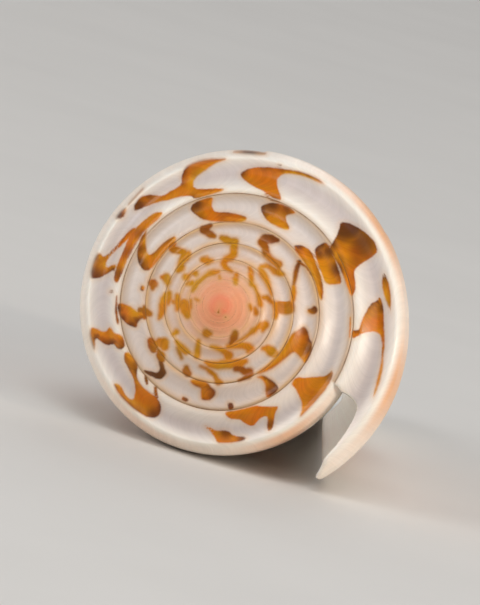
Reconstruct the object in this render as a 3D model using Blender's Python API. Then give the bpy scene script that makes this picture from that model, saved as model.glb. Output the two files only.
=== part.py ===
"""Governor cone shell: a loose sea shell in one piece, lying on its side with its mouth down.

The shell grows as a logarithmic spiral about an axis. A place on it is given by two numbers:
turn, the number of turns from the reference direction, and station, which walks along the
cross-section of a whorl from its suture (0) over the ramp and the shoulder (12) and then down
the side to the lower end (13). The shell's own axis is +Z with the apex at the origin, and the
finished mesh is laid down on its side at the end.
"""
import math

import bmesh
import bpy
import numpy as np
from mathutils import Matrix, Vector

# Overall size, in metres
SHELL_LENGTH = 0.075
CREST_RADIUS = 0.01405        # shoulder crest at turn 0, along the reference direction
GROWTH = 1.345                # radius multiplies by this in one turn
SPIRE_SLOPE = 0.46            # drop of the spire for each metre of radius

# Whorl cross-section: radius and lift above the spire's slope, as shares of the crest radius
OUTER_RADIUS = (1.012 / GROWTH, 0.772, 0.800, 0.838, 0.885, 0.932, 0.972, 0.995,
                1.012, 1.030, 1.045, 1.053, 1.056)
OUTER_LIFT = (0.0, 0.012, 0.012, -0.014, -0.034, -0.028, -0.002, 0.012,
              0.0, -0.026, -0.060, -0.100, -0.150)
INNER_RADIUS = (1.045 / GROWTH, 0.795, 0.825, 0.858, 0.893, 0.925, 0.950, 0.967,
                0.979, 0.987, 0.992, 0.996, 0.998)
INNER_LIFT = (-0.060 / GROWTH, -0.060, -0.071, -0.081, -0.088, -0.091, -0.094, -0.101,
              -0.112, -0.124, -0.137, -0.150, -0.165)
NEXT_SUTURE = 8               # station on which the next whorl is laid
CEILING_JOINT = 10            # station where the mouth's ceiling meets the whorl inside it
SHOULDER = 12                 # widest station, where the side begins and runs on to 13

# Side of the last whorl
SHOULDER_SWELL = 0.029        # it swells beyond the spiral halfway round
SWELL_TURN = 0.53
SWELL_SPREAD = 0.27
SHOULDER_PINCH = 0.018        # and draws in a little before the mouth
PINCH_TURN = 1.0
PINCH_SPREAD = 0.085
SIDE_BELLY = 0.055            # outward swell of the side below the shoulder
SIDE_WAIST = 0.012            # slight hollow above the lower end
WAIST_PLACE = 0.86
WAIST_SPREAD = 0.10
TIP_RADIUS = 0.0027           # lower end, at the start of the free side
TIP_GROWTH = 2.25             # the lower end opens this much in one turn
NOTCH_RISE = 0.0018           # the mouth's lower end stands this much higher
END_ROUNDING = 0.30           # the lower end is rounded in by this share of its radius
ROUNDING_START = 0.93
WALL_AT_TIP = 0.0009

# Mouth: the free edge, in turns, by station
SINUS_TURN = 395.5 / 360
EDGE_TURN = tuple(a / 360 for a in (395.5, 394.8, 394.6, 394.9, 395.6, 398.2, 409.0, 416.0,
                                    418.0, 420.0, 422.1, 423.2, 423.3))
LIP_SWEEP = 14.5 / 360        # the lip's edge sweeps forward down the side
LIP_RETREAT = 28.0 / 360      # and swings back at its lower end
RETREAT_START = 0.88
EDGE_THICKNESS = 0.42         # share of the wall's thickness left at the free edge
EDGE_TAPER = 14 / 360         # turns over which the wall reaches its full thickness
SLOT_TURNS = 288 / 360        # how far back the hollow runs
SLOT_CLOSING = 0.80           # how far the hollow has closed at its blind end

# Mesh layout
FIRST_TURN = -6               # whorls of the spire before turn 0
WIDE_STEPS = 32               # steps in the part of each turn away from the mouth
FINE_STEPS = 12               # steps in the last part of each turn, before the mouth
FINE_SHARE = 0.20             # that part's share of a turn
RAMP_STATIONS = (0, 1, 2, 3, 4, 5, 6, 7, 8)
SHOULDER_STATIONS = (10, 11, 12)
SIDE_STATIONS = (0.03, 0.07, 0.13, 0.21, 0.31, 0.42, 0.54, 0.66, 0.78, 0.88, 0.95, 0.985, 1.0)
APEX_HEIGHT = -0.0003         # the worn apex is blunter than the spire's slope
FOOT_BULGE = 0.0003

# How the shell lies: the direction around the axis that points down, and the axis's tilt
DOWN_DIRECTION = math.radians(108.2)
AXIS_TILT = math.radians(9.8)

SHELL_COLOUR = (0.86, 0.77, 0.66, 1.0)
SHELL_ROUGHNESS = 0.28
SHADE_ANGLE = math.radians(50)


def clear_scene():
    for obj in list(bpy.data.objects):
        bpy.data.objects.remove(obj, do_unlink=True)


def smooth_step(low, high, x):
    """0 below low, 1 above high, and an S-curve between them."""
    x = np.clip((x - low) / (high - low), 0.0, 1.0)
    return x * x * (3.0 - 2.0 * x)


def curve_through(values, station):
    """A smooth curve through values, which are given at stations 0, 1, 2 and so on."""
    values = np.asarray(values, float)
    slopes = np.gradient(values)
    low = np.clip(np.floor(station).astype(int), 0, len(values) - 2)
    x = np.clip(station - low, 0.0, 1.0)
    rise = x * x * (3.0 - 2.0 * x)
    start = slopes[low] * x * (1.0 - x) ** 2
    end = slopes[low + 1] * x * x * (x - 1.0)
    return values[low] * (1.0 - rise) + values[low + 1] * rise + start + end


def crest_radius(turn):
    return CREST_RADIUS * GROWTH ** turn


def place(turn, radius, height):
    """Points at a turn, a radius and a height. The spiral runs clockwise seen from the apex."""
    angle = 2.0 * math.pi * turn
    return np.stack([radius * np.cos(angle), -radius * np.sin(angle), height], axis=-1)


def side_share(drop):
    """Radius left at a share of the drop down the side: a straight cone with a slight belly."""
    belly = SIDE_BELLY * (1.0 - np.exp(-drop / SIDE_BELLY)) * (1.0 - drop)
    waist = SIDE_WAIST * bell(WAIST_PLACE, WAIST_SPREAD, drop) * (1.0 - drop)
    return 1.0 - drop + belly - waist


def bell(centre, spread, x):
    """1 at the centre, falling off as a bell curve."""
    return np.exp(-((x - centre) / spread) ** 2)


def shoulder_swell(turn, station):
    """Share by which the shoulder and the upper side depart from the even spiral."""
    swell = SHOULDER_SWELL * bell(SWELL_TURN, SWELL_SPREAD, turn)
    pinch = SHOULDER_PINCH * bell(PINCH_TURN, PINCH_SPREAD, turn)
    return (swell - pinch) * smooth_step(9.0, 11.5, station) * (1.0 - smooth_step(12.0, 12.5, station))


def whorl_section(turn, station, radii, lifts, tip_inset):
    """Radius and height on a whorl: its ramp and shoulder, and then its side."""
    crest = crest_radius(turn)
    radius = crest * curve_through(radii, station)
    height = -SPIRE_SLOPE * radius + crest * curve_through(lifts, station)
    drop = np.clip(station - SHOULDER, 0.0, 1.0)
    free_start = SINUS_TURN - 1.0
    tip_radius = TIP_RADIUS * TIP_GROWTH ** (turn - free_start) - tip_inset
    tip_height = -SHELL_LENGTH + NOTCH_RISE * smooth_step(0.75, 1.17, turn)
    side_radius = tip_radius + (radius - tip_radius) * side_share(drop)
    rounding = np.clip((drop - ROUNDING_START) / (1.0 - ROUNDING_START), 0.0, 1.0)
    side_radius = side_radius * (1.0 - END_ROUNDING * rounding ** 3)
    side_radius = side_radius * (1.0 + shoulder_swell(turn, station))
    side_height = height + (tip_height - height) * drop
    return side_radius, side_height


def outer_surface(turn, station):
    return place(turn, *whorl_section(turn, station, OUTER_RADIUS, OUTER_LIFT, 0.0))


def edge_turn(station):
    """Turn at which the shell ends: the deep sinus on the ramp, the beak, and the lip."""
    drop = np.clip(station - SHOULDER, 0.0, 1.0)
    sweep = LIP_SWEEP * drop ** 2 - LIP_RETREAT * smooth_step(RETREAT_START, 1.0, drop)
    return curve_through(EDGE_TURN, station) + sweep


def inner_surface(turn, station):
    """Inside of the mouth: the wall thins to the free edge, and the hollow closes far back."""
    outer = outer_surface(turn, station)
    full = place(turn, *whorl_section(turn, station, INNER_RADIUS, INNER_LIFT, WALL_AT_TIP))
    behind = np.maximum(edge_turn(station) - turn, 0.0)
    thinning = (1.0 - EDGE_THICKNESS) * np.exp(-behind / EDGE_TAPER) * smooth_step(0, 3, station)
    wall = full + (outer - full) * thinning[..., None]
    facing_station = np.where(station < SHOULDER,
                              CEILING_JOINT + (SHOULDER - CEILING_JOINT) * station / SHOULDER,
                              station)
    facing = outer_surface(turn - 1.0, facing_station)
    closing = SLOT_CLOSING * smooth_step(0.25 * SLOT_TURNS, SLOT_TURNS, behind)
    return wall + (facing - wall) * closing[..., None]


def turn_steps():
    """Turns of the mesh's columns: each turn has wide steps, then fine ones up to the sinus."""
    wide = np.linspace(0.0, 1.0 - FINE_SHARE, WIDE_STEPS + 1)
    fine = np.linspace(1.0 - FINE_SHARE, 1.0, FINE_STEPS + 1)
    one_turn = np.concatenate([wide, fine[1:]])[:-1]
    turns = [one_turn + k for k in range(FIRST_TURN, 1)]
    return np.append(np.concatenate(turns), 1.0) + SINUS_TURN - 1.0


def stretched(turn, station):
    """Columns before the mouth, stretched so that the last one follows the free edge."""
    share = np.clip((turn - (SINUS_TURN - FINE_SHARE)) / FINE_SHARE, 0.0, 1.0)
    return turn + share * (edge_turn(station) - SINUS_TURN)


def build_shell_mesh():
    stations = np.concatenate([RAMP_STATIONS, SHOULDER_STATIONS, SHOULDER + np.array(SIDE_STATIONS)])
    turns = turn_steps()
    per_turn = WIDE_STEPS + FINE_STEPS
    last = len(turns) - 1
    rows = len(stations)
    ramp_end = RAMP_STATIONS.index(NEXT_SUTURE)
    joint = ramp_end + 1
    slot_back = int(np.argmin(np.abs(turns - (SINUS_TURN - SLOT_TURNS))))

    turn_grid = stretched(turns[:, None], stations[None, :])
    station_grid = np.broadcast_to(stations[None, :], turn_grid.shape)
    outer_points = outer_surface(turn_grid, station_grid)
    inner_points = inner_surface(turn_grid, station_grid)

    bm = bmesh.new()
    outer = {}
    for j in range(last + 1):
        for i in range(rows):
            if i == 0 and j >= per_turn:
                outer[j, i] = outer[j - per_turn, ramp_end]
            elif i <= ramp_end or j >= slot_back - per_turn:
                outer[j, i] = bm.verts.new(outer_points[j, i])
    inner = {}
    for j in range(slot_back, last + 1):
        inner[j, 0] = outer[j - per_turn, joint]
        for i in range(1, rows):
            inner[j, i] = bm.verts.new(inner_points[j, i])

    # Ramps of all whorls, then the side of the last whorl and the wall that faces the hollow
    for j in range(last):
        for i in range(rows - 1):
            on_ramp = i < ramp_end
            free = i == ramp_end and j >= last - per_turn
            below = i >= joint and j >= slot_back - per_turn
            if on_ramp or free or below:
                bm.faces.new((outer[j, i], outer[j, i + 1], outer[j + 1, i + 1], outer[j + 1, i]))

    # Inside of the outer wall, and its underside at the lower end
    for j in range(slot_back, last):
        for i in range(rows - 1):
            bm.faces.new((inner[j, i], inner[j + 1, i], inner[j + 1, i + 1], inner[j, i + 1]))
        foot = rows - 1
        bm.faces.new((outer[j, foot], inner[j, foot], inner[j + 1, foot], outer[j + 1, foot]))

    # Free edge of sinus, beak and lip
    for i in range(rows - 1):
        bm.faces.new((outer[last, i], outer[last, i + 1], inner[last, i + 1], inner[last, i]))

    # Blind end of the hollow
    front, back = slot_back, slot_back - per_turn
    shoulder_row = joint + SHOULDER_STATIONS.index(SHOULDER)
    top = [inner[front, i] for i in range(shoulder_row + 1)]
    top += [outer[back, i] for i in range(shoulder_row, joint, -1)]
    bm.faces.new(top)
    for i in range(shoulder_row, rows - 1):
        bm.faces.new((inner[front, i], inner[front, i + 1], outer[back, i + 1], outer[back, i]))

    # Caps at the lower end and at the apex
    foot = rows - 1
    foot_loop = [outer[j, foot] for j in range(back, front + 1)] + [inner[front, foot]]
    add_fan(bm, foot_loop, Vector((0.0, 0.0, -SHELL_LENGTH - FOOT_BULGE)))
    apex_loop = [outer[j, 0] for j in range(per_turn + 1)]
    apex_loop += [outer[0, i] for i in range(ramp_end - 1, 0, -1)]
    add_fan(bm, apex_loop, Vector((0.0, 0.0, APEX_HEIGHT)))

    bmesh.ops.triangulate(bm, faces=bm.faces)
    bmesh.ops.recalc_face_normals(bm, faces=bm.faces)
    return bm


def add_fan(bm, loop, centre):
    """Closes a loop of vertices with triangles around one centre vertex."""
    hub = bm.verts.new(centre)
    for first, second in zip(loop, loop[1:] + loop[:1]):
        bm.faces.new((first, second, hub))


def shell_material():
    material = bpy.data.materials.new("glossy shell")
    material.use_nodes = True
    shader = material.node_tree.nodes["Principled BSDF"]
    shader.inputs["Base Color"].default_value = SHELL_COLOUR
    shader.inputs["Roughness"].default_value = SHELL_ROUGHNESS
    shader.inputs["Metallic"].default_value = 0.0
    return material


def lay_down(bm):
    """Turns the shell onto its side, apex towards -Y, and centres it on its footprint."""
    roll = Matrix.Rotation(DOWN_DIRECTION - math.pi / 2, 4, "Z")
    tip_over = Matrix.Rotation(math.pi / 2 - AXIS_TILT, 4, "X")
    bmesh.ops.transform(bm, matrix=tip_over @ roll, verts=bm.verts)
    points = np.array([v.co for v in bm.verts])
    low, high = points.min(axis=0), points.max(axis=0)
    middle = Vector(((low[0] + high[0]) / 2, (low[1] + high[1]) / 2, low[2]))
    bmesh.ops.translate(bm, vec=-middle, verts=bm.verts)


def main():
    clear_scene()
    bm = build_shell_mesh()
    lay_down(bm)
    mesh = bpy.data.meshes.new("shell")
    bm.to_mesh(mesh)
    bm.free()
    mesh.shade_smooth()
    mesh.set_sharp_from_angle(angle=SHADE_ANGLE)
    mesh.materials.append(shell_material())
    shell = bpy.data.objects.new("shell", mesh)
    bpy.context.scene.collection.objects.link(shell)
    return shell


main()
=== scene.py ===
# Governor cone shell, lying on its side: finished surface, markings, light and camera.
# A place on the shell is a turn (how far the spiral has grown) and a station (0 at the suture,
# 8 where the next whorl is laid, 12 at the widest place, and 12 to 13 down the side).
import bpy
import math
import numpy as np
from mathutils import Matrix, Vector


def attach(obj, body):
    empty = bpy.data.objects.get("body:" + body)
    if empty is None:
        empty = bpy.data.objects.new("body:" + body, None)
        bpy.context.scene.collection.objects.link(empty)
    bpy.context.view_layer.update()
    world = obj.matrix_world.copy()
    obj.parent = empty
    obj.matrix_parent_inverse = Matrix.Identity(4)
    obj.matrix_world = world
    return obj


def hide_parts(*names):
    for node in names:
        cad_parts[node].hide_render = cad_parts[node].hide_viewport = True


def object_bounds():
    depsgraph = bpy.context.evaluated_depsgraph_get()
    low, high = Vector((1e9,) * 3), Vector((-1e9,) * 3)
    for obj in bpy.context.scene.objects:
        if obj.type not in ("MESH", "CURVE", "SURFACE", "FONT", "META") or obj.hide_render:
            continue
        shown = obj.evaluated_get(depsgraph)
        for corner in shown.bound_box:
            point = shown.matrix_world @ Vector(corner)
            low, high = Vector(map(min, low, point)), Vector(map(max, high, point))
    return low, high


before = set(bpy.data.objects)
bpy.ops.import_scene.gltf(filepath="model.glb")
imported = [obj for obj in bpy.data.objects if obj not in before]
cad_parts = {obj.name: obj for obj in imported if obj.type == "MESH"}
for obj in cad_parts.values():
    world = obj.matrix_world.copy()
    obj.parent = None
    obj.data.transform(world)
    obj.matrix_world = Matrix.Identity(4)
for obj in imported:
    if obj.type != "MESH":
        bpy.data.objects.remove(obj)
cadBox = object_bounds()
scene = bpy.context.scene
print("frame loaded")


form = {                        # lengths in metres, places in turns
    "length": 0.075,            # apex to lower end
    "crestRadius": 0.01405,     # shoulder crest at turn 0
    "perTurn": 1.345,           # the radius grows by this in one turn
    "spireSlope": 0.46,         # drop for each metre of radius
    "belly": 0.055,             # swell of the side below the shoulder
    "waist": 0.012,             # slight hollow above the lower end
    "waistPlace": 0.86,
    "waistSpread": 0.10,
    "tipRadius": 0.0027,        # lower end, where the free side starts
    "tipPerTurn": 2.25,
    "notchRise": 0.0018,
    "swell": 0.029,             # the shoulder swells halfway round the last whorl
    "swellTurn": 0.53,
    "swellSpread": 0.27,
    "pinch": 0.018,             # and draws in before the mouth
    "pinchTurn": 1.0,
    "pinchSpread": 0.085,
    "endRounding": 0.30,
    "roundingStart": 0.93,
    "wallAtTip": 0.0009,
    "sinusTurn": 395.5 / 360,   # where the ramp ends in its deep notch
    "lipSweep": 14.5 / 360,     # the lip's edge sweeps forward down the side
    "lipRetreat": 28.0 / 360,   # and swings back at its lower end
    "retreatStart": 0.88,
    "edgeThickness": 0.42,      # share of the wall left at the free edge
    "edgeTaper": 14 / 360,
    "hollowTurns": 288 / 360,   # how far back the mouth runs
    "hollowClosing": 0.80,
    "wornTurns": (-6.5, -2.2),  # the whorls older than this are worn smooth
    "wornRelief": 0.3,
    "notchTurns": (0.75, 1.17),
    "apexHeight": -0.0003,
    "footBulge": 0.0003,
    "downDirection": math.radians(108.2),    # side of the spiral that faces the floor
    "axisTilt": math.radians(9.8),           # the lower end is thinner, so the axis dips
    # whorl section by station: radius and lift, as shares of the crest radius
    "outerRadius": (1.012 / 1.345, 0.772, 0.800, 0.838, 0.885, 0.932, 0.972, 0.995,
                    1.012, 1.030, 1.045, 1.053, 1.056),
    "outerLift": (0.0, 0.012, 0.012, -0.014, -0.034, -0.028, -0.002, 0.012,
                  0.0, -0.026, -0.060, -0.100, -0.150),
    "innerRadius": (1.045 / 1.345, 0.795, 0.825, 0.858, 0.893, 0.925, 0.950, 0.967,
                    0.979, 0.987, 0.992, 0.996, 0.998),
    "innerLift": (-0.060 / 1.345, -0.060, -0.071, -0.081, -0.088, -0.091, -0.094, -0.101,
                  -0.112, -0.124, -0.137, -0.150, -0.165),
    # the free edge in degrees of turn, by station: notch, beak, lip
    "edgeDegrees": (395.5, 394.8, 394.6, 394.9, 395.6, 398.2, 409.0, 416.0,
                    418.0, 420.0, 422.1, 423.2, 423.3),
    # scars where growth paused: turn and depth of each
    "oldLips": ((0.780, 0.012), (0.452, 0.004), (0.925, 0.004)),
    "oldLipWidth": 0.028,
    # the finished mesh
    "columnsPerTurn": 288,
    "columnStep": (4, 4, 4, 4, 2, 2, 2, 1, 1, 1),   # fewer columns on the smallest whorls
    "firstTurn": -9,
    "edgeShare": 0.20,          # share of the last turn that is stretched to the free edge
    "rampRows": 24,
    "sideRows": 46,
    "rimRows": 3,
}


def smoothStep(low, high, x):
    # 0 below low, 1 above high, and 3 x^2 - 2 x^3 of the share x between them
    x = np.clip((x - low) / (high - low), 0.0, 1.0)
    return x * x * (3.0 - 2.0 * x)


def hump(centre, width, x):
    # bell curve: exp of minus the square of the distance from its centre over its width
    return np.exp(-((x - centre) / width) ** 2)


def curveThrough(values, station):
    # smooth curve through values at stations 0, 1, 2 and so on: each stretch is a blend of its
    # two ends plus the slope at each end
    values = np.asarray(values, float)
    slopes = np.gradient(values)
    low = np.clip(np.floor(station).astype(int), 0, len(values) - 2)
    x = np.clip(station - low, 0.0, 1.0)
    rise = x * x * (3.0 - 2.0 * x)
    start = slopes[low] * x * (1.0 - x) ** 2
    end = slopes[low + 1] * x * x * (x - 1.0)
    return values[low] * (1.0 - rise) + values[low + 1] * rise + start + end


def growthPause(turn, station):
    # share of the radius lost before each old lip: depth times exp(-distance / width), snapping
    # back to 0 at the scar itself
    loss = np.zeros(np.broadcast(turn, station).shape)
    for place, depth in form["oldLips"]:
        before = place - turn
        loss += depth * np.exp(-np.abs(before) / form["oldLipWidth"]) * (before > 0)
    return loss * smoothStep(9.0, 11.5, station) * (1.0 - smoothStep(12.3, 12.8, station))


def shoulderSwell(turn, station):
    # share by which the shoulder departs from the even spiral: a long swell less a short pinch
    swell = form["swell"] * hump(form["swellTurn"], form["swellSpread"], turn)
    pinch = form["pinch"] * hump(form["pinchTurn"], form["pinchSpread"], turn)
    onShoulder = smoothStep(9.0, 11.5, station) * (1.0 - smoothStep(12.0, 12.5, station))
    return (swell - pinch) * onShoulder


def whorlSection(turn, station, radii, lifts, tipInset):
    # crest radius: growth to the power of the turn. Ramp: radius = crest radius times section
    # curve, height = slope line plus lift curve. Side: a straight cone from the shoulder to the
    # lower end, plus belly, less waist. The turn sets the direction, clockwise
    crest = form["crestRadius"] * form["perTurn"] ** turn
    radius = crest * curveThrough(radii, station)
    fresh = smoothStep(*form["wornTurns"], turn)
    relief = form["wornRelief"] + (1.0 - form["wornRelief"]) * fresh
    height = -form["spireSlope"] * radius + crest * relief * curveThrough(lifts, station)
    drop = np.clip(station - 12.0, 0.0, 1.0)
    belly = form["belly"] * (1.0 - np.exp(-drop / form["belly"])) * (1.0 - drop)
    waist = form["waist"] * hump(form["waistPlace"], form["waistSpread"], drop) * (1.0 - drop)
    tipTurn = turn - form["sinusTurn"] + 1.0
    tipRadius = form["tipRadius"] * form["tipPerTurn"] ** tipTurn - tipInset
    tipHeight = -form["length"] + form["notchRise"] * smoothStep(*form["notchTurns"], turn)
    radius = tipRadius + (radius - tipRadius) * (1.0 - drop + belly - waist)
    start = form["roundingStart"]
    rounding = np.clip((drop - start) / (1.0 - start), 0.0, 1.0)
    radius = radius * (1.0 - form["endRounding"] * rounding ** 3)
    radius = radius * (1.0 + shoulderSwell(turn, station) - growthPause(turn, station))
    angle = 2.0 * math.pi * turn
    height = height + (tipHeight - height) * drop
    return np.stack([radius * np.cos(angle), -radius * np.sin(angle), height], axis=-1)


def outerSurface(turn, station):
    # the whorl section with the outer curves, carried round the spiral
    return whorlSection(turn, station, form["outerRadius"], form["outerLift"], 0.0)


def edgeTurn(station):
    # turn at which the shell ends: the edge curve, swept forward with the square of the drop and
    # drawn back at its foot
    drop = np.clip(station - 12.0, 0.0, 1.0)
    sweep = form["lipSweep"] * drop ** 2
    retreat = form["lipRetreat"] * smoothStep(form["retreatStart"], 1.0, drop)
    return curveThrough(form["edgeDegrees"], station) / 360 + sweep - retreat


def innerSurface(turn, station):
    # the outer surface less the wall, which thins to the free edge; far back it closes on the
    # whorl that it faces
    outer = outerSurface(turn, station)
    full = whorlSection(turn, station, form["innerRadius"], form["innerLift"], form["wallAtTip"])
    behind = np.maximum(edgeTurn(station) - turn, 0.0)
    thin = (1.0 - form["edgeThickness"]) * np.exp(-behind / form["edgeTaper"])
    thin = thin * smoothStep(0, 3, station)
    wall = full + (outer - full) * thin[..., None]
    facingStation = np.where(station < 12.0, 10.0 + 2.0 * station / 12.0, station)
    facing = outerSurface(turn - 1.0, facingStation)
    depth = smoothStep(0.25 * form["hollowTurns"], form["hollowTurns"], behind)
    return wall + (facing - wall) * (form["hollowClosing"] * depth)[..., None]


def quads(a, b, c, d):
    # four equal lists of corners, side by side
    return np.stack([np.ravel(a), np.ravel(b), np.ravel(c), np.ravel(d)], axis=-1)


def sheetOf(grid):
    # every cell of a grid of point numbers as one face
    return quads(grid[:-1, :-1], grid[:-1, 1:], grid[1:, 1:], grid[1:, :-1])


def buildShellGrid():
    # one grid of columns (turns) and rows (stations) outside, one inside the mouth, and a rounded
    # rim between them; row 0 of a whorl is the row of station 8 one turn before it
    perTurn = form["columnsPerTurn"]
    turnCount = len(form["columnStep"])
    columns = turnCount * perTurn + 1
    last = columns - 1
    turns = form["firstTurn"] + np.arange(columns) / perTurn + form["sinusTurn"] - 1.0
    rampEnd = form["rampRows"]
    ramp = np.linspace(0.0, 8.0, rampEnd + 1)
    shoulder = (8.5, 9.0, 9.5, 10.0, 10.5, 11.0, 11.5, 12.0)
    side = 0.90 * (np.arange(1, form["sideRows"] + 1) / form["sideRows"]) ** 1.4
    foot = (0.93, 0.945, 0.96, 0.972, 0.983, 0.992, 1.0)
    stations = np.concatenate([ramp, shoulder, 12.0 + side, 12.0 + np.array(foot)])
    rows = len(stations)
    joint = rampEnd + 4                                    # row of station 10
    shoulderRow = rampEnd + 8
    slotBack = int(np.argmin(np.abs(turns - (form["sinusTurn"] - form["hollowTurns"]))))
    back = slotBack - perTurn

    # the last columns are stretched step by step from the even spiral to the free edge
    share = np.clip((turns - form["sinusTurn"]) / form["edgeShare"] + 1.0, 0, 1)
    turnGrid = turns[:, None] + share[:, None] * (edgeTurn(stations) - form["sinusTurn"])[None, :]
    stationGrid = np.broadcast_to(stations[None, :], turnGrid.shape)
    outerPoints = outerSurface(turnGrid, stationGrid)
    innerPoints = innerSurface(turnGrid[slotBack:], stationGrid[slotBack:])

    # which places of the outer grid have a point of their own
    step = np.append(np.repeat(form["columnStep"], perTurn), 1)
    column = np.arange(columns)
    kept = column % step == 0
    own = np.zeros((columns, rows), bool)
    own[kept, :rampEnd + 1] = True
    own[perTurn:, 0] = False
    own[last - perTurn:, rampEnd + 1:joint] = True
    own[back:, joint:] = True
    outerIndex = np.full((columns, rows), -1)
    outerIndex[own] = np.arange(own.sum())
    previous = np.maximum.accumulate(np.where(kept, column, 0))
    outerIndex[:, :rampEnd + 1] = outerIndex[previous, :rampEnd + 1]
    for n in range(1, turnCount):                          # whorl by whorl, from the apex
        here = slice(n * perTurn, (n + 1) * perTurn + (n == turnCount - 1))
        before = slice((n - 1) * perTurn, n * perTurn + (n == turnCount - 1))
        outerIndex[here, 0] = outerIndex[before, rampEnd]
    points = [outerPoints[own]]
    total = int(own.sum())

    innerIndex = np.zeros((columns - slotBack, rows), int)
    innerIndex[:, 1:] = total + np.arange((columns - slotBack) * (rows - 1)).reshape(-1, rows - 1)
    innerIndex[:, 0] = outerIndex[back:back + columns - slotBack, joint]
    points.append(innerPoints[:, 1:].reshape(-1, 3))
    total += (columns - slotBack) * (rows - 1)

    # rim: straight across the wall, plus half its thickness times a half sine along the growth
    rimRows = form["rimRows"]
    edge, inside = outerPoints[last], innerPoints[-1]
    forward = edge - outerPoints[last - 1]
    forward /= np.linalg.norm(forward, axis=-1, keepdims=True)
    thickness = np.linalg.norm(edge - inside, axis=-1, keepdims=True)
    swell = smoothStep(0.3, 2.5, stations)[:, None]
    rimIndex = np.zeros((rimRows + 2, rows), int)
    rimIndex[0], rimIndex[-1] = outerIndex[last], innerIndex[-1]
    for k in range(1, rimRows + 1):
        across = k / (rimRows + 1)
        rim = edge + (inside - edge) * across
        rim = rim + forward * thickness * 0.5 * math.sin(math.pi * across) * swell
        rimIndex[k, 1:] = total + np.arange(rows - 1)
        rimIndex[k, 0] = outerIndex[last - perTurn, rampEnd + k]
        points.append(rim[1:])
        total += rows - 1
    hubHeights = (-form["length"] - form["footBulge"], form["apexHeight"])
    points.append(np.array([[0.0, 0.0, height] for height in hubHeights]))
    footHub, apexHub = total, total + 1

    faces = [sheetOf(outerIndex[:, :rampEnd + 1])]
    faces.append(sheetOf(outerIndex[last - perTurn:, rampEnd:joint + 1]))
    faces.append(sheetOf(outerIndex[back:, joint:]))
    faces.append(sheetOf(innerIndex)[:, ::-1])
    faces.append(quads(outerIndex[slotBack:-1, -1], innerIndex[:-1, -1],
                       innerIndex[1:, -1], outerIndex[slotBack + 1:, -1]))
    faces.append(sheetOf(rimIndex.T)[:, ::-1])
    # blind end: the mouth's ceiling zipped to the shoulder it faces, then down the side
    front = innerIndex[0]
    ceiling = front[:shoulderRow + 1]
    facing = outerIndex[back, joint:shoulderRow + 1]
    pick = np.arange(len(ceiling)) * (len(facing) - 1) // (len(ceiling) - 1)
    faces.append(quads(ceiling[:-1], ceiling[1:], facing[pick[1:]], facing[pick[:-1]]))
    faces.append(quads(front[shoulderRow:-1], front[shoulderRow + 1:],
                       outerIndex[back, shoulderRow + 1:], outerIndex[back, shoulderRow:-1]))
    heel = rimIndex[:, -1]                                 # the rim's end at the lower end
    faces.append(quads([heel[0]] * rimRows, heel[1:-1], heel[2:], heel[2:])[:, ::-1])
    footLoop = np.append(outerIndex[back:slotBack + 1, -1], front[-1])
    apexLoop = np.concatenate([outerIndex[:perTurn + 1, 0], outerIndex[0, rampEnd - 1:0:-1]])
    for loop, hub in ((footLoop[::-1], footHub), (apexLoop, apexHub)):
        around = np.roll(loop, -1)
        hubs = np.full(len(loop), hub)
        faces.append(quads(loop, around, hubs, hubs))
    corners = np.concatenate(faces)
    triangles = np.concatenate([corners[:, [0, 1, 2]], corners[:, [0, 2, 3]]])
    a, b, c = triangles.T
    triangles = triangles[(a != b) & (b != c) & (a != c)][:, ::-1]

    # station and turn of every point, and whether it is outside, inside or on the rim
    innerTurn, innerStation = turnGrid[slotBack:, 1:].ravel(), stationGrid[slotBack:, 1:].ravel()
    turnList = [turnGrid[own], innerTurn] + [turnGrid[last, 1:]] * rimRows + [np.zeros(2)]
    stationList = [stationGrid[own], innerStation] + [stations[1:]] * rimRows + [(13.0, 0.0)]
    zoneSizes = (int(own.sum()), len(innerTurn), rimRows * (rows - 1), 2)
    return {
        "points": np.concatenate(points), "triangles": triangles,
        "turn": np.concatenate(turnList), "station": np.concatenate(stationList),
        "zone": np.repeat((0.0, 1.0, 2.0, 0.0), zoneSizes),
    }


grid = buildShellGrid()
print("shell grid:", len(grid["points"]), "points,", len(grid["triangles"]), "triangles")


seen = {                        # the photograph's view of the spire, in metres unless noted
    "tilt": math.radians(10.5),          # between the line of sight and the shell's axis
    "tiltToward": math.radians(30.0),
    "distance": 0.70,
    "targetHeight": -0.008,
    "pixel": 0.000113,                   # one pixel of the photograph at the shoulder
    "frameHeight": 605,                  # in pixels
    "sideShift": 0.00105,                # the shell stands a little left of the middle, and low
    "upShift": 0.00102,
    "clip": (0.02, 20.0),
}


def viewAxes():
    # line of sight, and the picture's right and up, in the shell's own directions: up is the
    # y axis less its part along the line of sight, and right is square to both
    t, w = seen["tilt"], seen["tiltToward"]
    sight = np.array([math.sin(t) * math.cos(w), -math.sin(t) * math.sin(w), math.cos(t)])
    up = np.array([0.0, 1.0, 0.0])
    up -= sight * (up @ sight)
    up /= np.linalg.norm(up)
    return sight, np.cross(up, sight), up


sight, right, up = viewAxes()
eye = np.array([0.0, 0.0, seen["targetHeight"]]) + sight * seen["distance"]


def flatten(points):
    # perspective: metres across and down the picture, divided by the depth, which is 1 at the
    # viewing distance
    offset = points - eye
    depth = -(offset @ sight) / seen["distance"]
    return np.stack([offset @ right, -(offset @ up)], axis=-1) / depth[..., None]


def seenPlace(points):
    # pixels right of and below the apex, as the photograph shows them
    return (flatten(points) - flatten(np.zeros(3))) / seen["pixel"]


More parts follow.
